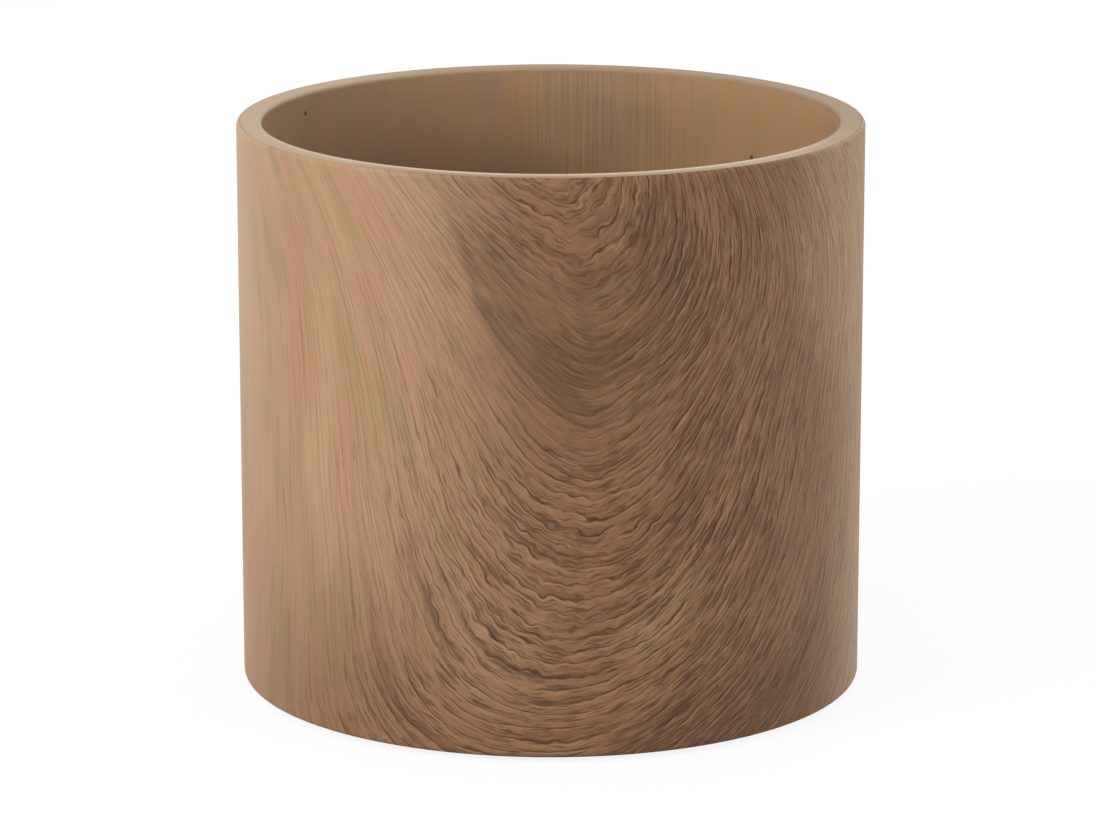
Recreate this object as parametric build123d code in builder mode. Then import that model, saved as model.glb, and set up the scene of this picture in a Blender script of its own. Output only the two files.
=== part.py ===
from build123d import *
import os

# Round cement cachepot: a straight cast cup with a wood-effect film outside, a beige sealing coat
# over the rim and inside, and four felt pads under the base. Millimetres, +Z up along the axis,
# with the origin at the centre of the plane that the pads stand on.

# The finished pot, measured over its film and its coat
outer_diameter = 250.0
body_height = 227.0
wall_thickness = 10.0
floor_thickness = 12.0

# Roundings of the cast cement, and the one between the finished inner wall and floor
rim_outer_rounding = 1.5
rim_inner_rounding = 1.0
base_rounding = 2.0
floor_rounding = 6.0

# The two skins, and how far the film wraps round the cement's edges, in degrees
film_thickness = 0.3
coat_thickness = 0.3
film_rim_wrap = 75.0
film_base_wrap = 50.0

# Felt pads, set in from the start of the base's rounding
pad_count = 4
pad_diameter = 22.0
pad_thickness = 2.0
pad_edge_margin = 8.0
first_pad_angle = 45.0

# Radii and levels worked out from the sizes above
outer_radius = outer_diameter / 2
inner_radius = outer_radius - wall_thickness
cement_radius = outer_radius - film_thickness
base_level = pad_thickness
rim_level = base_level + body_height
cement_rim_level = rim_level - coat_thickness
floor_level = base_level + floor_thickness
cement_floor_level = floor_level - coat_thickness
pad_circle_radius = cement_radius - base_rounding - pad_edge_margin - pad_diameter / 2

# Centres of the roundings, as radius and level
base_corner = (cement_radius - base_rounding, base_level + base_rounding)
rim_outer_corner = (cement_radius - rim_outer_rounding, cement_rim_level - rim_outer_rounding)
rim_inner_corner = (
    inner_radius + coat_thickness + rim_inner_rounding,
    cement_rim_level - rim_inner_rounding,
)
floor_corner = (inner_radius - floor_rounding, floor_level + floor_rounding)
cement_floor_rounding = floor_rounding + coat_thickness

# Cast cement body: wall and floor in one piece, with rounded edges
with BuildPart() as cement_body:
    with BuildSketch(Plane.XZ):
        with BuildLine():
            base_edge = CenterArc(base_corner, base_rounding, -90, 90)
            rim_outer_edge = CenterArc(rim_outer_corner, rim_outer_rounding, 0, 90)
            rim_inner_edge = CenterArc(rim_inner_corner, rim_inner_rounding, 90, 90)
            floor_edge = CenterArc(floor_corner, cement_floor_rounding, 0, -90)
            Line(base_edge @ 1, rim_outer_edge @ 0)
            Line(rim_outer_edge @ 1, rim_inner_edge @ 0)
            Line(rim_inner_edge @ 1, floor_edge @ 0)
            Polyline(floor_edge @ 1, (0, cement_floor_level), (0, base_level), base_edge @ 0)
        make_face()
    revolve(axis=Axis.Z)
cement_body.part.label = "cement_body"

# Wood-effect printed film: round the outer wall, from under the base's edge to the top of the rim's
# outer rounding
with BuildPart() as wood_print_film:
    with BuildSketch(Plane.XZ):
        with BuildLine():
            film_foot = CenterArc(base_corner, base_rounding, -film_base_wrap, film_base_wrap)
            film_head = CenterArc(rim_outer_corner, rim_outer_rounding, 0, film_rim_wrap)
            Line(film_foot @ 1, film_head @ 0)
            offset(amount=film_thickness, side=Side.RIGHT)
        make_face()
    revolve(axis=Axis.Z)
wood_print_film.part.label = "wood_print_film"

# Sealing coat: from the film's upper edge over the rim, down the inner wall and across the floor
with BuildPart() as sealing_coat:
    with BuildSketch(Plane.XZ):
        with BuildLine():
            coat_start = CenterArc(
                rim_outer_corner, rim_outer_rounding, film_rim_wrap, 90 - film_rim_wrap
            )
            coat_lip = CenterArc(rim_inner_corner, rim_inner_rounding, 90, 90)
            coat_cove = CenterArc(floor_corner, cement_floor_rounding, 0, -90)
            Line(coat_start @ 1, coat_lip @ 0)
            Line(coat_lip @ 1, coat_cove @ 0)
            Line(coat_cove @ 1, (0, cement_floor_level))
            offset(amount=coat_thickness, side=Side.RIGHT)
        make_face()
    revolve(axis=Axis.Z)
sealing_coat.part.label = "sealing_coat"

# Felt pads: equal discs on one circle under the base
felt_pads = []
for number in range(pad_count):
    pad_angle = first_pad_angle + number * 360 / pad_count
    with BuildPart() as felt_pad:
        with BuildSketch(Plane.XY):
            with PolarLocations(pad_circle_radius, 1, start_angle=pad_angle):
                Circle(pad_diameter / 2)
        extrude(amount=pad_thickness)
    felt_pad.part.label = f"felt_pad_{number + 1}"
    felt_pads.append(felt_pad.part)

os.makedirs("parts", exist_ok=True)
for piece in [cement_body.part, wood_print_film.part, sealing_coat.part, *felt_pads]:
    export_step(piece, f"parts/{piece.label}.step")
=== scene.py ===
import math
import bmesh
import bpy
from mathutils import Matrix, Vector


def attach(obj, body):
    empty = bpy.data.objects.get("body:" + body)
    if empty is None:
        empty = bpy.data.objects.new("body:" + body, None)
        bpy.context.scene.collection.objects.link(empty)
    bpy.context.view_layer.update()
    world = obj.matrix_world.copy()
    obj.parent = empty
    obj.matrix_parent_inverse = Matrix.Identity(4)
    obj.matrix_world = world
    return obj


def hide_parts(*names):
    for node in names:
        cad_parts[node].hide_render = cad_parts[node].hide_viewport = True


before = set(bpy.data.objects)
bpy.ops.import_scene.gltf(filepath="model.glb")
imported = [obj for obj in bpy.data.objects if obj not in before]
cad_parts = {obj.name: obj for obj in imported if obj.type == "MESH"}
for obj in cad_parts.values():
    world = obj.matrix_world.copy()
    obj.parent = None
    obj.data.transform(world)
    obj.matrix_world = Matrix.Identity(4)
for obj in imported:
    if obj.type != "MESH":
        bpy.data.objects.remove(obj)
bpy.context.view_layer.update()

print("frame loaded:", sorted(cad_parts))
scene = bpy.context.scene
scene.view_settings.view_transform = "Standard"
metresPerMm = 0.001


# node helper: a value, vector or colour on its way through a material
class Strand:
    def __init__(self, tree, socket):
        self.tree = tree
        self.socket = socket

    def node(self, kind, settings=None, sockets=None, out=0):
        made = self.tree.nodes.new("ShaderNode" + kind)
        for name, value in (settings or {}).items():
            setattr(made, name, value)
        for name, value in (sockets or {}).items():
            if isinstance(value, Strand):
                self.tree.links.new(value.socket, made.inputs[name])
            else:
                made.inputs[name].default_value = value
        return Strand(self.tree, made.outputs[out])

    def pair(self, operation, first, second):
        flat = all(not isinstance(v, Strand) or v.socket.type == "VALUE" for v in (first, second))
        if flat:
            return self.node("Math", {"operation": operation}, {0: first, 1: second})
        first, second = [v if isinstance(v, (Strand, tuple)) else (v, v, v) for v in (first, second)]
        return self.node("VectorMath", {"operation": operation}, {0: first, 1: second})

    def __add__(self, other):
        return self.pair("ADD", self, other)

    def __radd__(self, other):
        return self.pair("ADD", other, self)

    def __sub__(self, other):
        return self.pair("SUBTRACT", self, other)

    def __rsub__(self, other):
        return self.pair("SUBTRACT", other, self)

    def __mul__(self, other):
        return self.pair("MULTIPLY", self, other)

    def __rmul__(self, other):
        return self.pair("MULTIPLY", other, self)

    def __truediv__(self, other):
        return self.pair("DIVIDE", self, other)

    def __pow__(self, other):
        return self.pair("POWER", self, other)

    def maths(self, operation, other=0.0):
        return self.node("Math", {"operation": operation}, {0: self, 1: other})

    def larger(self, other):
        return self.maths("MAXIMUM", other)

    def past(self, level):  # how far above a level, 0 below it
        return (self - level).larger(0.0)

    def short(self, level):  # how far below a level, 0 above it
        return (level - self).larger(0.0)

    def rise(self, low, high):  # 0 below low, 1 above high, smooth between
        settings = {"interpolation_type": "SMOOTHSTEP"}
        return self.node("MapRange", settings, {"Value": self, "From Min": low, "From Max": high})

    def fall(self, low, high):
        return 1 - self.rise(low, high)

    def stay(self, low, full, least, high):  # 0, up to 1 between low and full, back to 0 by high
        return self.rise(low, full) * self.fall(least, high)

    def hump(self, middle, halfWidth):  # 1 at the middle, 0 past the half width
        return (self - middle).maths("ABSOLUTE").fall(0, halfWidth)

    def axes(self):
        return [self.node("SeparateXYZ", None, {0: self}, out) for out in range(3)]

    def noise(self, along=1.0, across=None, step=1.0, detail=0.0, roughness=0.5):
        # self is the place in mm; along is the size of a patch, across / step is the fourth axis
        sockets = {"Vector": self * (1 / along), "Scale": 1.0, "Detail": detail, "Roughness": roughness}
        if across is None:
            return self.node("TexNoise", {"noise_dimensions": "3D"}, sockets)
        sockets["W"] = across * (1 / step)
        return self.node("TexNoise", {"noise_dimensions": "4D"}, sockets)

    def between(self, first, second):  # a colour from first to second as self goes from 0 to 1
        settings = {"data_type": "RGBA", "clamp_factor": True}
        return self.node("Mix", settings, {0: self, 6: first, 7: second}, out=2)

    def tint(self, amount, colour):  # self turned towards a colour
        return amount.between(self, colour)


def paint(red, green, blue):  # a colour as it is seen, 0 to 255, as the linear one that the nodes take
    linear = []
    for seen in (red, green, blue):
        straight, curved = seen / 255 / 12.92, (seen / 255 + 0.055) / 1.055
        linear.append(curved ** 2.4 if seen > 10.3 else straight)
    return (*linear, 1.0)


def newMaterial(name):
    made = bpy.data.materials.new(name)
    made.use_nodes = True
    shader = made.node_tree.nodes["Principled BSDF"]
    spots = made.node_tree.nodes.new("ShaderNodeTexCoord").outputs["Object"]
    place = Strand(made.node_tree, spots) * (1 / metresPerMm)
    return made, shader, place


def plug(shader, **values):  # names with _ for a space
    for name, value in values.items():
        socket = shader.inputs[name.replace("_", " ")]
        if isinstance(value, Strand):
            value.tree.links.new(value.socket, socket)
        else:
            socket.default_value = value


def raised(height, strength, depth):  # bump, with its depth in mm
    sockets = {"Height": height, "Strength": strength, "Distance": depth * metresPerMm}
    return height.node("Bump", None, sockets)


# turned pieces: corner points of a section in mm, rounded, trimmed, spun and given their thickness
def section(corners, arcSteps=10):
    bm = bmesh.new()
    points = [bm.verts.new((radius, 0, level)) for radius, level, rounding in corners]
    for first, second in zip(points, points[1:]):
        bm.edges.new((first, second))
    for point, (radius, level, rounding) in zip(points, corners):
        if rounding:
            bmesh.ops.bevel(bm, geom=[point], offset=rounding, offset_type="OFFSET", segments=arcSteps,
                            profile=0.5, affect="VERTICES", material=-1)
    return bm


def trim(bm, level, way):  # way 1 drops what is above the level, -1 what is below
    bmesh.ops.bisect_plane(bm, geom=bm.verts[:] + bm.edges[:], dist=1e-5, plane_co=(0, 0, level),
                           plane_no=(0, 0, way), clear_outer=True)


def turned(bm, steps=288, thickness=0.0, mergeWithin=1e-4):
    bmesh.ops.spin(bm, geom=bm.verts[:] + bm.edges[:], cent=(0, 0, 0), axis=(0, 0, 1), dvec=(0, 0, 0),
                   angle=math.tau, steps=steps, use_merge=True, use_duplicate=False)
    bmesh.ops.remove_doubles(bm, verts=bm.verts, dist=mergeWithin)
    bmesh.ops.recalc_face_normals(bm, faces=bm.faces)
    if thickness:
        bmesh.ops.solidify(bm, geom=bm.faces, thickness=thickness)


def finished(bm, name, material, node, sharpAngle=0.6):
    bmesh.ops.scale(bm, verts=bm.verts, vec=(metresPerMm,) * 3)
    for face in bm.faces:
        face.smooth = True
    for edge in bm.edges:
        edge.smooth = edge.calc_face_angle(0.0) < sharpAngle
    mesh = bpy.data.meshes.new(name)
    bm.to_mesh(mesh)
    bm.free()
    mesh.materials.append(material)
    piece = bpy.data.objects.new(name, mesh)
    scene.collection.objects.link(piece)
    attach(piece, "root")
    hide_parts(node)
    return piece


pot = {                      # the pot's own sizes in mm
    "radius": 125.0,
    "wall": 10.0,
    "base": 2.0,             # level of the cement's underside
    "rim": 229.0,
    "floor": 14.0,
    "skin": 0.3,             # film and coat
    "rimRounding": 1.8,      # outer edge
    "lipRounding": 1.3,      # inner edge
    "footRounding": 2.3,
    "cove": 6.0,
    "filmTop": 228.939,      # 75 degrees up the rim's outer rounding
    "filmFoot": 2.24,        # 50 degrees under the foot's
    "filmInset": 7.0,        # how far in the film's section starts, before it is trimmed
    "coatStart": 10.0,       # how far down the coat's section starts, before it is cut
}


# wood print film
film = {
    # How the rings lie: an arched figure, by the level above the base edge and the arc from the
    # front, both in mm. A line over the level has a start and a slope, and bends at top and foot.
    "lean": {"start": 8.1, "from": 0.0, "slope": 0.064,
             "topFrom": 156.0, "top": -0.0056, "footTo": 86.0, "foot": -0.0028},
    "spread": {"start": -15.6, "from": 60.0, "slope": 0.005,
               "topFrom": 156.0, "top": -0.002, "footTo": 40.0, "foot": -0.001},
    "spreadMiddle": 12.3,
    "spreadReach": 40.0,
    "leanTurn": (95.0, 150.0),         # degrees from the front between which the leaning stops
    "tipRound": 3.9,                   # rounding at the arch's tip, by the level
    "tipSlope": -0.024,
    "tipLeast": 1.5,
    "pointed": 0.232,                  # how pointed the arch gets above a level
    "pointedLevel": 114.0,
    "pointedReach": 14.0,
    "steepTall": 77.0,                 # how the arch's sides climb
    "steepWide": 66.0,
    "squash": 23.0,                    # how the rings crowd at the foot
    "squashTop": 60.0,
    "squashReach": 52.0,
    "squashPower": 2.5,
    "ringScale": 55.0,
    "ringShift": 120.0,
    "ringSoft": 100.0,
    "backFold": 40.0,                  # the arched figure at the back
    "backFoldSlope": 0.16,

    # noises that run with the rings: length of a patch, step across, detail, roughness
    "ripple": (8, 15, 1, 0.5),
    "scallop": (3.8, 9, 0, 0.5),
    "bands": (85, 11, 3, 0.6),
    "longLines": (60, 1.1, 2, 0.6),
    "strokes": (7, 0.42, 1, 0.5),
    "dashes": (13, 0.8, 1, 0.5),
    "heavy": (26, 2.2, 1, 0.5),
    "alive": (15, 2.6, 1, 0.5),
    "lineDrift": (45, 5, 1, 0.5),
    "veinDrift": (70, 9, 1, 0.5),
    "veinLife": (55, 3.3, 1, 0.5),
    "haze": (34, 9, 2, 0.5),
    "blotch": (15, 15, 2, 0.6),
    "hue": (75, 22, 1, 0.5),
    "strawPatch": (55, 15, 1, 0.5),

    # ripples: everywhere, then low at the middle, then under the rim
    "rippleDepth": (1.1, 1.9, 1.8),
    "scallopDepth": (0.4, 0.7, 1.0),
    "rippledLevel": (15, 50, 85, 125),
    "rippledTurn": (0, 30),
    "curledLevel": (165, 205),
    "curledTurn": (4, 20),

    # growth lines and veins, in mm across the rings and as parts of one spacing
    "lineSpacing": 2.7,
    "lineDriftDepth": 2.2,
    "lineEdge": (0.78, 0.93, 0.94, 0.99),
    "lineSwell": (0.15, 0.95, 0.95, 1.0),
    "lineCrest": (0.04, 0.26),
    "lineLife": (0.4, 0.52),
    "brokenLevel": (150, 195),         # the lines break more under the rim
    "brokenTurn": (6, 34),
    "brokenLife": (0.1, 0.08),
    "veinSpacing": 2.6,
    "veinDriftDepth": 3.0,
    "veinShape": (0.7, 0.9, 0.9, 0.99),
    "veinAlive": (0.44, 0.56),

    # places on the wall: levels and arcs in mm, turns in degrees from the front
    "lowLevel": 110,
    "footLevel": 60,
    "heartBorder": {"arc": -30, "low": 0.25, "foot": 0.5},
    "heartReach": {"arc": 36, "low": 0.45, "foot": 0.3, "bands": 1.8},
    "heartEnd": (300, 380),
    "farTurn": (26, 62),
    "rightEdgeTurn": (54, 80),
    "rightEdgeLevel": (110, 190),
    "rightEdgeLean": 14,
    "shownTurn": (-66, -4),            # how strongly the lines show, from left to right
    "shownFoot": 0.3,
    "shownLevel": (108, 150),
    "shownLean": 7,
    "shownFade": (34, 92, 0.62),
    "shownMost": (30, 26, 0.3),
    "backTurn": (105, 165),
    "backShown": 0.3,
    "calmLevel": (108, 136, 172, 204),
    "calmTurn": (-24, -10, 6, 24),
    "smokeRing": (-33, -12, -9, -5),   # sharp on the outside at the left, soft at the right
    "smokeSpread": (-3, 9),
    "smokeRight": (-2, 34),
    "smokeRise": (176, 0.45),
    "smokeRipple": 2.5,
    "smokeLevel": (116, 140),
    "smokeFade": (196, 226, 0.55),
    "smokeHaze": (0.18, 0.5),
    "innerRing": (-27, 7),
    "innerArc": (0, 14),
    "innerLevel": (146, 170),
    "innerHaze": (0.3, 0.6),
    "withinLevel": (152, 50),
    "withinTurn": (1, 24),
    "foothillSlope": (0.33, 5),
    "foothillRise": (-14, 22),
    "foothillArc": (10, 40, 95, 145),
    "leftFootRise": (0, 110),
    "leftFootArc": (-80, -20),
    "leftFootFade": (-175, -115, 0.45),
    "glowLevel": (48, 42),
    "glowTurn": (-11, 17),
    "leftEdgeTurn": (-130, -95, -84, -54),
    "leftEdgeLevel": (30, 170),
    "sapTurn": (-74, -46),             # where the sapwood's veins and lines get stronger
    "heavyGaps": (0.3, 0.5),
    "cupRing": (45.3, 1.4),            # single dark rings and pale strips of the photographed side
    "cupArc": (-10, 48),
    "lensRing": (42, 13),
    "lensArc": (44, 26),
    "lensLevel": (70, 90),
    "sweepRing": (51.5, 1.3),
    "sweepArc": (-48, 26),
    "sweepLevel": (58, 42),
    "stripRing": (47.5, 3.2),
    "stripArc": (-46, 24),
    "stripLevel": (62, 40),
    "lowLeftRing": (69, 2.6),
    "lowLeftArc": (-56, 34),

    # colours
    "pale": paint(199, 161, 124),
    "rose": paint(196, 152, 119),
    "roseFrom": (0.36, 0.6),
    "straw": paint(182, 150, 109),
    "strawFrom": (0.5, 0.66),
    "heart": paint(147, 105, 74),
    "far": paint(152, 116, 86),
    # painted sheen: a lighter colour standing for the grazing reflection along the right edge
    "rightEdgeSheen": paint(192, 157, 121),
    # painted light and sheen: a lighter colour for the lit left edge and its grazing reflection
    "leftEdgeLight": paint(216, 187, 153),
    "smoke": paint(92, 71, 48),
    "ink": paint(70, 42, 22),
    "veinTone": paint(146, 104, 70),
    "shade": paint(86, 61, 38),
    "footTone": paint(138, 98, 68),
    # partly the print's own pale streaks, partly a painted highlight beside the grain lines and strokes, for
    # the embossed relief
    "glint": paint(190, 147, 110),

    # how much of each colour goes on; where there are two, the second grows with a mask
    "strawMuch": 0.8,
    "smokeMuch": 0.62,
    "innerMuch": 0.7,
    "withinMuch": 0.22,
    "foothillMuch": 0.5,
    "leftFootMuch": 0.46,
    "lensMuch": 0.4,
    "stripMuch": 0.35,
    "glowMuch": 0.2,
    "leftEdgeMuch": 0.6,
    "bandTone": (0.26, 0.5),
    "lineTone": (0.16, 0.5),
    "blotchTone": 0.5,
    "longLineFrom": (0.3, 0.42),
    "longLineMuch": (0.1, 0.1, 0.22),
    "veinMuch": (0.2, 0.32),
    "heavyFrom": (0.34, 0.44),
    "heavyMuch": 0.2,
    "swellMuch": 0.15,
    "crestMuch": 0.3,
    "edgeMuch": (0.04, 0.76),
    "dashFrom": (0.355, 0.405),
    "dashMuch": 0.55,
    "strokeFrom": (0.38, 0.43),
    "strokeMuch": 0.5,
    "glintFrom": (0.57, 0.65),
    "glintMuch": 0.26,
    "cupMuch": 0.6,
    "sweepMuch": 0.6,
    "lowLeftMuch": 0.5,
    "calmMuch": 0.5,
    "leastDepth": 0.1,

    # surface
    "roughness": 0.56,
    "roughnessBands": 0.2,
    "gloss": 0.3,
    "edgeDip": 0.3,
    "bumpStrength": 0.5,
    "bumpDepth": 0.25,
}


def bent(level, line):  # a value along the level, with a bend at the top and at the foot
    value = line["start"] + (level - line["from"]) * line["slope"]
    value = value + level.past(line["topFrom"]) ** 2 * line["top"]
    return value + level.short(line["footTo"]) ** 2 * line["foot"]


def ringField(place, s):
    x, y, z = place.axes()
    level = z - pot["base"]
    turn = x.maths("ARCTAN2", y * -1)              # 0 at the front, to the right of it positive
    arc = turn * pot["radius"]
    off = arc.maths("ABSOLUTE")
    half = math.pi * pot["radius"]
    fold = (level * s["backFoldSlope"] + s["backFold"]) * (off * off) * (1 / half ** 2)
    away = half - off
    side = arc.maths("SIGN") * (half - (away * away + fold * fold).maths("SQRT"))
    leanEnds = [math.radians(angle) for angle in s["leanTurn"]]
    front = turn.maths("ABSOLUTE").fall(*leanEnds)
    across = ((side - s["spreadMiddle"]) / s["spreadReach"]).maths("TANH")
    sway = bent(level, s["lean"]) + bent(level, s["spread"]) * across
    off = side - front * sway
    tip = (level * s["tipSlope"] + s["tipRound"]).larger(s["tipLeast"])
    out = (off * off + tip * tip).maths("SQRT") - tip
    pointing = ((level - s["pointedLevel"]) / (2 * s["pointedReach"])).maths("TANH") * 0.5 + 0.5
    sharp = s["pointed"] * pointing
    climb = ((out / s["steepWide"]).maths("COSH") - 1) * s["steepTall"] + sharp * out
    height = level - (level.short(s["squashTop"]) / s["squashReach"]) ** s["squashPower"] * s["squash"]
    grow = (climb - height + s["ringShift"]) / s["ringSoft"]
    ring = (grow + (grow * grow + 1).maths("SQRT")).maths("LOGARITHM", math.e) * s["ringScale"]
    return ring, arc, level, turn


def woodPrint(s):
    made, shader, place = newMaterial("woodPrint")
    ring, arc, level, turn = ringField(place, s)
    turnDeg = turn * math.degrees(1)
    foot = level.short(s["footLevel"])
    low = level.short(s["lowLevel"])

    def grain(name, across):
        along, step, detail, roughness = s[name]
        return place.noise(along, across, step, detail, roughness)

    # rippled rings
    ripple = grain("ripple", ring) - 0.5
    scallop = grain("scallop", ring) - 0.5
    rippled = level.stay(*s["rippledLevel"]) * turnDeg.hump(*s["rippledTurn"])
    curled = level.rise(*s["curledLevel"]) * turnDeg.hump(*s["curledTurn"])
    always, whereRippled, whereCurled = s["rippleDepth"]
    wave = ring + ripple * (always + rippled * whereRippled + curled * whereCurled)
    always, whereRippled, whereCurled = s["scallopDepth"]
    wave = wave + scallop * (always + rippled * whereRippled + curled * whereCurled)

    # broad bands, long lines and short strokes
    bands = grain("bands", wave) - 0.5
    longLines = grain("longLines", wave)
    strokes = grain("strokes", wave)
    dashes = grain("dashes", wave)
    heavy = grain("heavy", wave)
    alive = grain("alive", wave)

    # evenly spaced growth lines: a soft rise to a thin dark edge, broken here and there
    count = wave * (1 / s["lineSpacing"]) + grain("lineDrift", ring) * s["lineDriftDepth"]
    growth = count.maths("FRACT")
    edge = growth.stay(*s["lineEdge"])
    swell = growth.stay(*s["lineSwell"])
    # a painted highlight just past each dark edge, partly the print's own pale streak
    crestHighlight = growth.fall(*s["lineCrest"])
    broken = level.rise(*s["brokenLevel"]) * turnDeg.hump(*s["brokenTurn"])
    life = alive.rise(*[start + broken * more for start, more in zip(s["lineLife"], s["brokenLife"])])

    # thin long veins on the sapwood
    veinCount = wave * (1 / s["veinSpacing"]) + grain("veinDrift", ring) * s["veinDriftDepth"]
    vein = veinCount.maths("FRACT").stay(*s["veinShape"]) * grain("veinLife", wave).rise(*s["veinAlive"])

    # where the print is pale sapwood, dark heart, and dull towards the right, with a painted sheen lighter
    # along the right edge
    border, reach = s["heartBorder"], s["heartReach"]
    heartFrom = border["arc"] - low * border["low"] - foot * border["foot"]
    heartOver = reach["arc"] + low * reach["low"] + foot * reach["foot"]
    heart = ((arc - heartFrom) / heartOver + bands * reach["bands"]).rise(-1, 1)
    heart = heart * arc.fall(*s["heartEnd"])
    far = turnDeg.rise(*s["farTurn"])
    # painted sheen along the right edge, reaching further towards the front near the top
    rightEdgeSheen = turnDeg + level.rise(*s["rightEdgeLevel"]) * s["rightEdgeLean"]
    rightEdgeSheen = rightEdgeSheen.rise(*s["rightEdgeTurn"])

    # how strongly the lines show: least on the sapwood, calmer again inside the arch
    shown = turnDeg + foot * s["shownFoot"] - level.rise(*s["shownLevel"]) * s["shownLean"]
    shown = shown.rise(*s["shownTurn"])
    fadeFrom, fadeTo, fade = s["shownFade"]
    middle, halfWidth, more = s["shownMost"]
    shown = shown * shown * (1 - turnDeg.rise(fadeFrom, fadeTo) * fade)
    shown = shown * (1 + turnDeg.hump(middle, halfWidth) * more)
    behind = turnDeg.maths("ABSOLUTE").rise(*s["backTurn"])
    shown = shown * (1 - behind) + behind * s["backShown"]
    calm = level.stay(*s["calmLevel"]) * turnDeg.stay(*s["calmTurn"])
    lively = shown * (1 - calm * s["calmMuch"])
    depth = s["leastDepth"] + lively * (1 - s["leastDepth"])
    sap = turnDeg.rise(*s["sapTurn"])

    # smoky bands that follow the arch
    riseFrom, riseSlope = s["smokeRise"]
    smokeRing = ring + level.past(riseFrom) * riseSlope + ripple * s["smokeRipple"]
    haze = grain("haze", ring)
    rightSide = arc.rise(*s["smokeRight"])
    low1, low2, high1, high2 = s["smokeRing"]
    more1, more2 = s["smokeSpread"]
    fadeFrom, fadeTo, fade = s["smokeFade"]
    smoke = smokeRing.rise(low1, low2) * smokeRing.fall(high1 + rightSide * more1, high2 + rightSide * more2)
    smoke = smoke * level.rise(*s["smokeLevel"]) * (1 - level.rise(fadeFrom, fadeTo) * fade)
    smoke = smoke * haze.rise(*s["smokeHaze"])
    inner = smokeRing.hump(*s["innerRing"]) * arc.rise(*s["innerArc"])
    inner = inner * level.rise(*s["innerLevel"]) * haze.rise(*s["innerHaze"])
    within = level.hump(*s["withinLevel"]) * turnDeg.hump(*s["withinTurn"])

    # darker foot, pale places, painted light and sheen on the left edge, and the single rings of the
    # photographed side
    slope, start = s["foothillSlope"]
    foothill = (arc * slope + start - level).rise(*s["foothillRise"]) * arc.stay(*s["foothillArc"])
    fadeFrom, fadeTo, fade = s["leftFootFade"]
    leftFoot = low.rise(*s["leftFootRise"]) * arc.fall(*s["leftFootArc"])
    leftFoot = leftFoot * (1 - fade + arc.rise(fadeFrom, fadeTo) * fade)
    glow = level.hump(*s["glowLevel"]) * turnDeg.hump(*s["glowTurn"])
    # painted light and sheen on the left edge, stronger towards the top
    leftEdgeLight = turnDeg.stay(*s["leftEdgeTurn"]) * level.rise(*s["leftEdgeLevel"])
    blotch = grain("blotch", ring) - 0.5
    gaps = heavy.rise(*s["heavyGaps"])
    cup = wave.hump(*s["cupRing"]) * arc.hump(*s["cupArc"]) * gaps
    lens = ring.hump(*s["lensRing"]) * arc.hump(*s["lensArc"]) * level.fall(*s["lensLevel"])
    sweep = wave.hump(*s["sweepRing"]) * arc.hump(*s["sweepArc"]) * level.hump(*s["sweepLevel"])
    strip = wave.hump(*s["stripRing"]) * arc.hump(*s["stripArc"]) * level.hump(*s["stripLevel"])
    lowLeft = wave.hump(*s["lowLeftRing"]) * arc.hump(*s["lowLeftArc"]) * gaps

    # colour, layer by layer
    straw = grain("strawPatch", wave).rise(*s["strawFrom"])
    colour = grain("hue", wave).rise(*s["roseFrom"]).between(s["pale"], s["rose"])
    colour = colour.tint(straw * s["strawMuch"], s["straw"]).tint(heart, s["heart"])
    colour = colour.tint(far * heart, s["far"]).tint(rightEdgeSheen * heart, s["rightEdgeSheen"])
    colour = colour.tint(smoke.larger(inner * s["innerMuch"]) * s["smokeMuch"], s["smoke"])
    colour = colour.tint(within * s["withinMuch"], s["smoke"])
    colour = colour.tint(foothill * s["foothillMuch"], s["shade"])
    colour = colour.tint(leftFoot * s["leftFootMuch"], s["footTone"])
    colour = colour.tint(lens * s["lensMuch"], s["straw"]).tint(strip * s["stripMuch"], s["pale"])
    colour = colour.tint(glow * s["glowMuch"], s["pale"]).tint(leftEdgeLight * s["leftEdgeMuch"], s["leftEdgeLight"])
    bandTone = bands * (s["bandTone"][0] + depth * s["bandTone"][1])
    lineTone = (longLines - 0.5) * (s["lineTone"][0] + depth * s["lineTone"][1])
    colour = colour * (1 + bandTone + lineTone + blotch * calm * s["blotchTone"])
    always, onSap, whereLively = s["longLineMuch"]
    longMuch = always + sap * onSap + lively * whereLively
    colour = colour.tint(longLines.fall(*s["longLineFrom"]) * longMuch, s["ink"])
    always, onSap = s["veinMuch"]
    colour = colour.tint(vein * (1 - lively) * (always + sap * onSap), s["veinTone"])
    colour = colour.tint(heavy.fall(*s["heavyFrom"]) * lively * s["heavyMuch"], s["ink"])
    colour = colour.tint(swell * lively * s["swellMuch"], s["ink"])
    colour = colour.tint(crestHighlight * life * lively * s["crestMuch"], s["glint"])
    always, whereLively = s["edgeMuch"]
    colour = colour.tint(edge * life * (always + lively * whereLively), s["ink"])
    colour = colour.tint(dashes.fall(*s["dashFrom"]) * lively * s["dashMuch"], s["ink"])
    colour = colour.tint(strokes.fall(*s["strokeFrom"]) * lively * s["strokeMuch"], s["ink"])
    # partly print, partly a painted highlight beside the dark strokes, for the embossed relief
    colour = colour.tint(strokes.rise(*s["glintFrom"]) * lively * s["glintMuch"], s["glint"])
    rings = (cup * s["cupMuch"]).larger(sweep * s["sweepMuch"]).larger(lowLeft * s["lowLeftMuch"])
    colour = colour.tint(rings, s["ink"])

    height = (strokes - 0.5) * lively + (longLines - 0.5) * depth - edge * life * lively * s["edgeDip"]
    plug(shader, Base_Color=colour, Roughness=s["roughness"] + bands * s["roughnessBands"],
         Specular_IOR_Level=s["gloss"], Normal=raised(height, s["bumpStrength"], s["bumpDepth"]))
    return made


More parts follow.
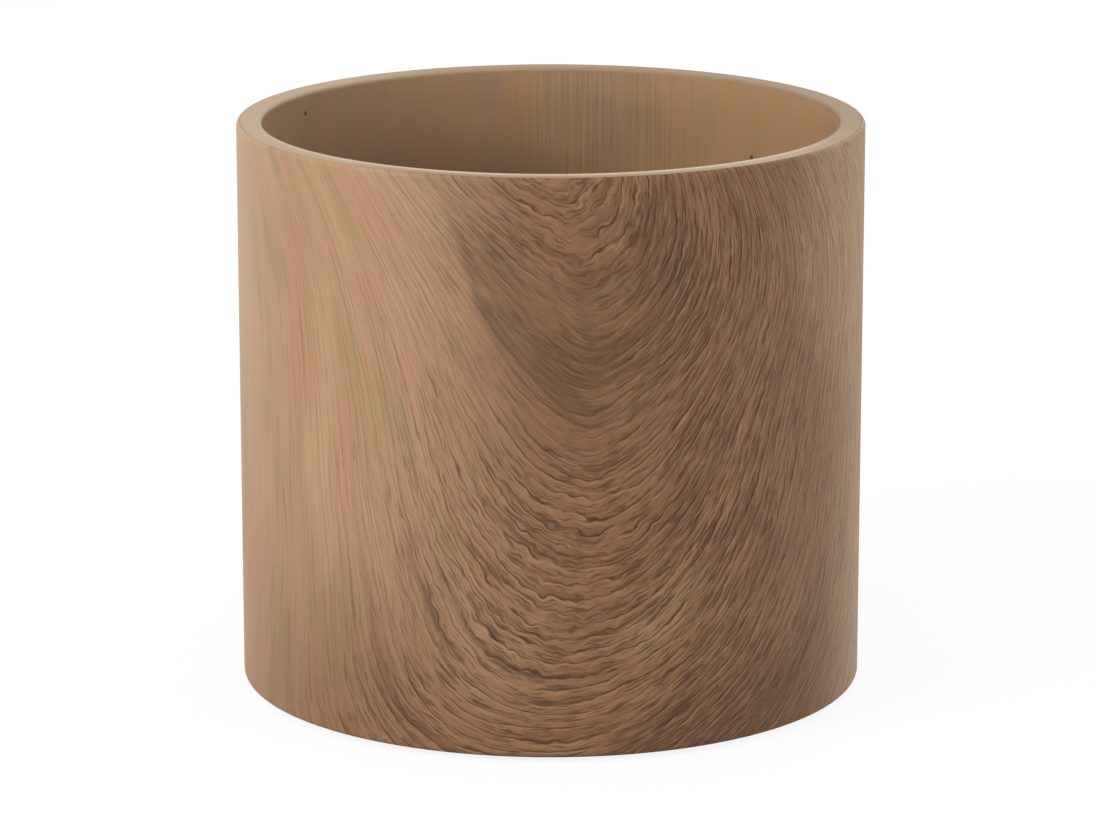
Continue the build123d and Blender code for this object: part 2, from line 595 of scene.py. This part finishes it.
bm = section([
    (pot["radius"] - pot["filmInset"], pot["rim"], 0),
    (pot["radius"], pot["rim"], pot["rimRounding"]),
    (pot["radius"], pot["base"] - pot["skin"], pot["footRounding"]),
    (pot["radius"] - pot["filmInset"], pot["base"] - pot["skin"], 0),
])
trim(bm, pot["filmTop"], 1)
trim(bm, pot["filmFoot"], -1)
turned(bm, thickness=pot["skin"])
finished(bm, "woodPrintFilm", woodPrint(film), "wood_print_film")
print("wood print film made")


# beige sealing coat, over the rim and down inside
coat = {
    # colours
    "rim": paint(202, 176, 146),
    "rimBack": paint(173, 145, 117),
    "rimFront": paint(166, 130, 100),
    # painted highlight: the light caught by the front of the rim's inner edge
    "lipHighlight": paint(236, 208, 182),
    "wall": paint(163, 134, 105),
    "warm": paint(174, 137, 99),
    # painted light: a lighter, warmer colour where the lamp from the left falls on the right inner wall
    "paintedLitWall": paint(206, 162, 118),
    # painted shadow: the darker colour for the shade that the front left wall casts low on the inner wall
    "paintedShadow": paint(104, 84, 60),
    "pale": paint(196, 162, 128),
    "streak": paint(96, 68, 44),
    "pinhole": paint(38, 26, 16),

    # places: turns in degrees from the back of the inner wall, levels and radii in mm
    "insideBelowRim": (2.2, 0.6),
    "streakTurn": (-12, 4, 14, 44),
    "runTurn": (-20, 0, 40, 80),
    "litWallTurn": (-10, 60, 80, 150),
    "shadowTurn": (-120, -60, -20, 40),
    "shadowTop": (150, 224),
    "shadowFoot": (40, 130),
    "rimBackTurn": (-30, 95),
    "rimBackLean": 0.7,
    "lipRadius": (117.6, 119.6),
    "lipFront": (20, 100),
    "browRadius": (118.6, 121.0),
    "browFront": (84, 119),
    "pinholes": ((-100.4, 56.1, 220.3), (83.3, 79.3, 197.5)),
    "pinholeRadius": (0.6, 1.3),

    # brush marks: their size across in mm, how far they are drawn out, and where they show
    "drawnOut": 0.01,
    "fineMark": 0.6,
    "thinMark": 1.5,
    "broadMark": 16,
    "brokenPatch": 24,
    "cloudPatch": 36,
    "streakFrom": (0.38, 0.48),
    "streakGaps": (0.3, 0.5),
    "paleFrom": (0.54, 0.64),
    "paleGaps": (0.4, 0.62),
    "runFrom": (0.28, 0.33),
    "runGaps": (0.46, 0.6),
    "wallFrom": (-0.2, 0.25),

    # how much of each goes on
    "streakedMuch": (0.8, 0.1),
    "litWallMuch": 0.6,
    "shadowMuch": 0.8,
    "browMuch": 0.75,
    "lipHighlightMuch": 0.75,
    "cloudTone": 0.14,
    "streakMuch": 0.26,
    "paleMuch": 0.34,
    "runMuch": 0.14,
    "pinholeMuch": 0.8,

    # surface
    "roughness": 0.6,
    "roughnessGrit": 0.1,
    "gloss": 0.3,
    "grit": 0.9,
    "bumpStrength": 0.25,
    "bumpDepth": 0.15,
}


def sealingPaint(s):
    made, shader, place = newMaterial("sealingPaint")
    x, y, z = place.axes()
    backTurn = x.maths("ARCTAN2", y) * math.degrees(1)    # 0 at the back of the inner wall
    forward = y * -1
    radius = (x * x + y * y).maths("SQRT")
    inside = z.fall(*[pot["rim"] - depth for depth in s["insideBelowRim"]])
    stretched = place.node("CombineXYZ", None, {0: x, 1: y, 2: z * s["drawnOut"]})
    fine = stretched.noise(s["fineMark"], detail=1)
    thin = stretched.noise(s["thinMark"], detail=1)
    broad = stretched.noise(s["broadMark"], detail=1)
    broken = place.noise(s["brokenPatch"], detail=2)
    cloud = place.noise(s["cloudPatch"], detail=3) - 0.5

    # brush marks
    there, elsewhere = s["streakedMuch"]
    streaked = backTurn.stay(*s["streakTurn"]) * inside * there + inside * elsewhere
    streaks = fine.fall(*s["streakFrom"]) * broken.rise(*s["streakGaps"]) * streaked
    pale = fine.rise(*s["paleFrom"]) * broken.fall(*s["paleGaps"]) * streaked
    runs = thin.fall(*s["runFrom"]) * broken.fall(*s["runGaps"]) * backTurn.stay(*s["runTurn"]) * inside

    # inner wall and rim; the right side of the wall gets painted light, its lower left and back painted
    # shadow, and the front of the rim's inner edge a painted highlight
    walls = (cloud + broad - 0.5).rise(*s["wallFrom"]).between(s["wall"], s["warm"])
    # painted light on the right inner wall, which faces the lamp from the left
    walls = walls.tint(backTurn.stay(*s["litWallTurn"]) * s["litWallMuch"], s["paintedLitWall"])
    # painted shadow low on the left and back inner wall, where the front left wall shades it
    paintedShadow = z.fall(*s["shadowTop"]) * z.rise(*s["shadowFoot"]) * backTurn.stay(*s["shadowTurn"])
    walls = walls.tint(paintedShadow * s["shadowMuch"], s["paintedShadow"])
    top = ((x + y) * s["rimBackLean"]).rise(*s["rimBackTurn"]).between(s["rim"], s["rimBack"])
    brow = radius.rise(*s["browRadius"]) * forward.rise(*s["browFront"])
    # painted highlight along the front of the rim's inner edge
    lipHighlight = radius.fall(*s["lipRadius"]) * forward.rise(*s["lipFront"])
    top = top.tint(brow * s["browMuch"], s["rimFront"]).tint(lipHighlight * s["lipHighlightMuch"], s["lipHighlight"])

    colour = inside.between(top, walls) * (1 + cloud * s["cloudTone"])
    colour = colour.tint(streaks * s["streakMuch"], s["streak"]).tint(pale * s["paleMuch"], s["pale"])
    colour = colour.tint(runs * s["runMuch"], s["streak"])
    for spot in s["pinholes"]:
        away = place.node("VectorMath", {"operation": "DISTANCE"}, {0: place, 1: spot}, out=1)
        colour = colour.tint(away.fall(*s["pinholeRadius"]) * s["pinholeMuch"], s["pinhole"])
    grit = place.noise(s["grit"], detail=2) - 0.5
    plug(shader, Base_Color=colour, Roughness=s["roughness"] + grit * s["roughnessGrit"],
         Specular_IOR_Level=s["gloss"], Normal=raised(grit + cloud, s["bumpStrength"], s["bumpDepth"]))
    return made


bore = pot["radius"] - pot["wall"]
bm = section([
    (pot["radius"], pot["rim"] - pot["coatStart"], 0),
    (pot["radius"], pot["rim"], pot["rimRounding"]),
    (bore, pot["rim"], pot["lipRounding"]),
    (bore, pot["floor"], pot["cove"]),
    (0.0, pot["floor"], 0),
])
# only the outer side is cut off, at the film's edge
outerSide = [v for v in bm.verts if v.co.x > pot["radius"] - pot["rimRounding"]]
bmesh.ops.delete(bm, geom=[v for v in outerSide if v.co.z < pot["filmTop"] - 1e-4], context="VERTS")
turned(bm, thickness=pot["skin"])
finished(bm, "sealingCoat", sealingPaint(coat), "sealing_coat")
print("sealing coat made")


# cast cement body
cement = {
    "pale": paint(168, 164, 156),
    "dark": paint(140, 136, 128),
    "pit": paint(88, 84, 78),
    "cloudPatch": 28,
    "cloudFrom": (0.3, 0.7),
    "grit": 0.8,
    "gritFrom": (0.55, 0.8),
    "gritMuch": 0.3,
    "pitSize": 2.6,
    "pitFrom": (0.68, 0.74),
    "pitMuch": 0.8,
    "roughness": 0.85,
    "gloss": 0.2,
    "gritHeight": 0.4,
    "bumpStrength": 0.6,
    "bumpDepth": 0.4,
}


def castCement(s):
    made, shader, place = newMaterial("castCement")
    cloud = place.noise(s["cloudPatch"], detail=4, roughness=0.6)
    grit = place.noise(s["grit"], detail=2)
    pits = place.noise(s["pitSize"], detail=1).rise(*s["pitFrom"])
    colour = cloud.rise(*s["cloudFrom"]).between(s["pale"], s["dark"])
    colour = colour.tint(grit.rise(*s["gritFrom"]) * s["gritMuch"], s["pit"])
    colour = colour.tint(pits * s["pitMuch"], s["pit"])
    height = grit * s["gritHeight"] - pits
    plug(shader, Base_Color=colour, Roughness=s["roughness"], Specular_IOR_Level=s["gloss"],
         Normal=raised(height, s["bumpStrength"], s["bumpDepth"]))
    return made


skin = pot["skin"]
bm = section([
    (0.0, pot["base"], 0),
    (pot["radius"] - skin, pot["base"], pot["footRounding"] - skin),
    (pot["radius"] - skin, pot["rim"] - skin, pot["rimRounding"] - skin),
    (bore + skin, pot["rim"] - skin, pot["lipRounding"] - skin),
    (bore + skin, pot["floor"] - skin, pot["cove"] + skin),
    (0.0, pot["floor"] - skin, 0),
])
turned(bm)
finished(bm, "cementBody", castCement(cement), "cement_body")
print("cement body made")


# felt pads under the base
felt = {
    "radius": 11.0,
    "thickness": 2.0,
    "circle": 103.7,
    "count": 4,
    "firstAngle": 45.0,
    "rounding": 0.5,         # at the floor
    "topRounding": 0.2,
    "arcSteps": 4,
    "steps": 96,
    "light": paint(92, 78, 66),
    "dark": paint(52, 43, 36),
    "fuzz": 0.45,
    "fuzzFrom": (0.35, 0.65),
    "cloudPatch": 3.5,
    "cloudFrom": (0.5, 0.8),
    "cloudMuch": 0.4,
    "roughness": 0.95,
    "gloss": 0.15,
    "bumpStrength": 0.8,
    "bumpDepth": 0.3,
}


def pressedFelt(s):
    made, shader, place = newMaterial("pressedFelt")
    fuzz = place.noise(s["fuzz"], detail=3, roughness=0.7)
    cloud = place.noise(s["cloudPatch"], detail=2)
    colour = fuzz.rise(*s["fuzzFrom"]).between(s["dark"], s["light"])
    colour = colour.tint(cloud.rise(*s["cloudFrom"]) * s["cloudMuch"], s["dark"])
    plug(shader, Base_Color=colour, Roughness=s["roughness"], Specular_IOR_Level=s["gloss"],
         Normal=raised(fuzz, s["bumpStrength"], s["bumpDepth"]))
    return made


feltMaterial = pressedFelt(felt)
for number in range(felt["count"]):
    angle = math.radians(felt["firstAngle"] + number * 360 / felt["count"])
    bm = section([
        (0.0, 0.0, 0),
        (felt["radius"], 0.0, felt["rounding"]),
        (felt["radius"], felt["thickness"], felt["topRounding"]),
        (0.0, felt["thickness"], 0),
    ], arcSteps=felt["arcSteps"])
    turned(bm, steps=felt["steps"])
    spot = (felt["circle"] * math.cos(angle), felt["circle"] * math.sin(angle), 0)
    bmesh.ops.translate(bm, verts=bm.verts, vec=spot)
    finished(bm, f"feltPad{number + 1}", feltMaterial, f"felt_pad_{number + 1}")
print("felt pads made")


# floor, world and lamps, in metres
studio = {
    "floorSize": 14.0,
    "floorForLight": 0.5,     # what the floor gives back to the pot
    "floorSeen": 0.95,        # the floor's own tone, which takes the shadow
    "whiteShare": 0.82,       # how much plain white goes over it
    "white": 1.07,
    "world": 0.54,
    "aim": (0, 0, 0.13),      # what the lamps point at
}


def seenDirectly(tree):  # 1 where the eye, a reflection or glass looks
    path = tree.nodes.new("ShaderNodeLightPath").outputs
    names = ("Is Camera Ray", "Is Glossy Ray", "Is Transmission Ray")
    eye, glossy, through = [Strand(tree, path[name]) for name in names]
    return eye.larger(glossy).larger(through)


def floorMaterial(s):
    made = bpy.data.materials.new("paleFloor")
    made.use_nodes = True
    tree = made.node_tree
    tree.nodes.remove(tree.nodes["Principled BSDF"])
    seen = seenDirectly(tree)
    grey = s["floorForLight"] + seen * (s["floorSeen"] - s["floorForLight"])
    board = grey.node("BsdfDiffuse", None, {"Color": grey})
    white = grey.node("Emission", None, {"Color": (1, 1, 1, 1), "Strength": s["white"]})
    both = grey.node("MixShader", None, {0: seen * s["whiteShare"], 1: board, 2: white})
    tree.links.new(both.socket, tree.nodes["Material Output"].inputs["Surface"])
    return made


bm = bmesh.new()
bmesh.ops.create_grid(bm, x_segments=1, y_segments=1, size=studio["floorSize"] / 2)
mesh = bpy.data.meshes.new("paleFloor")
bm.to_mesh(mesh)
bm.free()
mesh.materials.append(floorMaterial(studio))
floor = bpy.data.objects.new("paleFloor", mesh)
scene.collection.objects.link(floor)

world = bpy.data.worlds.new("studio")
scene.world = world
world.use_nodes = True
seen = seenDirectly(world.node_tree)
sky = world.node_tree.nodes["Background"]
sky.inputs["Color"].default_value = (1, 1, 1, 1)
skyLight = studio["world"] + seen * (1 - studio["world"])
world.node_tree.links.new(skyLight.socket, sky.inputs["Strength"])

lamps = {
    "key": {"place": (-1.85, -1.35, 1.5), "power": 24.5, "size": 1.3, "colour": (1.0, 0.985, 0.96)},
    "fill": {"place": (2.0, -1.3, 0.9), "power": 10.5, "size": 1.3, "colour": (1.0, 1.0, 1.0)},
    "back": {"place": (0.8, 2.4, 1.2), "power": 7.0, "size": 1.3, "colour": (1.0, 0.99, 0.97)},
    "front": {"place": (-0.9, -3.0, 0.36), "power": 10.0, "size": 0.25, "colour": (1.0, 0.99, 0.97)},
}
for name, s in lamps.items():
    light = bpy.data.lights.new(name, "AREA")
    light.shape = "DISK"
    light.energy = s["power"]
    light.size = s["size"]
    light.color = s["colour"]
    lamp = bpy.data.objects.new(name, light)
    scene.collection.objects.link(lamp)
    lamp.location = s["place"]
    lamp.rotation_euler = (Vector(studio["aim"]) - lamp.location).to_track_quat("-Z", "Y").to_euler()
print("floor and lamps made")


# camera, at the photograph's place
eyePoint = {
    "back": 1.9351,          # metres in front of the pot's axis
    "height": 0.5874,
    "pitch": 0.2427,         # radians downwards
    "lens": 161.6,
    "sensor": 36.0,
    "middle": 550.8,         # the axis in the photograph, in its pixels
    "width": 1100,           # the photograph's width
}
cameraData = bpy.data.cameras.new("camera")
cameraData.lens = eyePoint["lens"]
cameraData.sensor_width = eyePoint["sensor"]
cameraData.shift_x = (eyePoint["width"] / 2 - eyePoint["middle"]) / eyePoint["width"]
camera = bpy.data.objects.new("camera", cameraData)
scene.collection.objects.link(camera)
camera.location = (0, -eyePoint["back"], eyePoint["height"])
camera.rotation_euler = (math.pi / 2 - eyePoint["pitch"], 0, 0)
scene.camera = camera
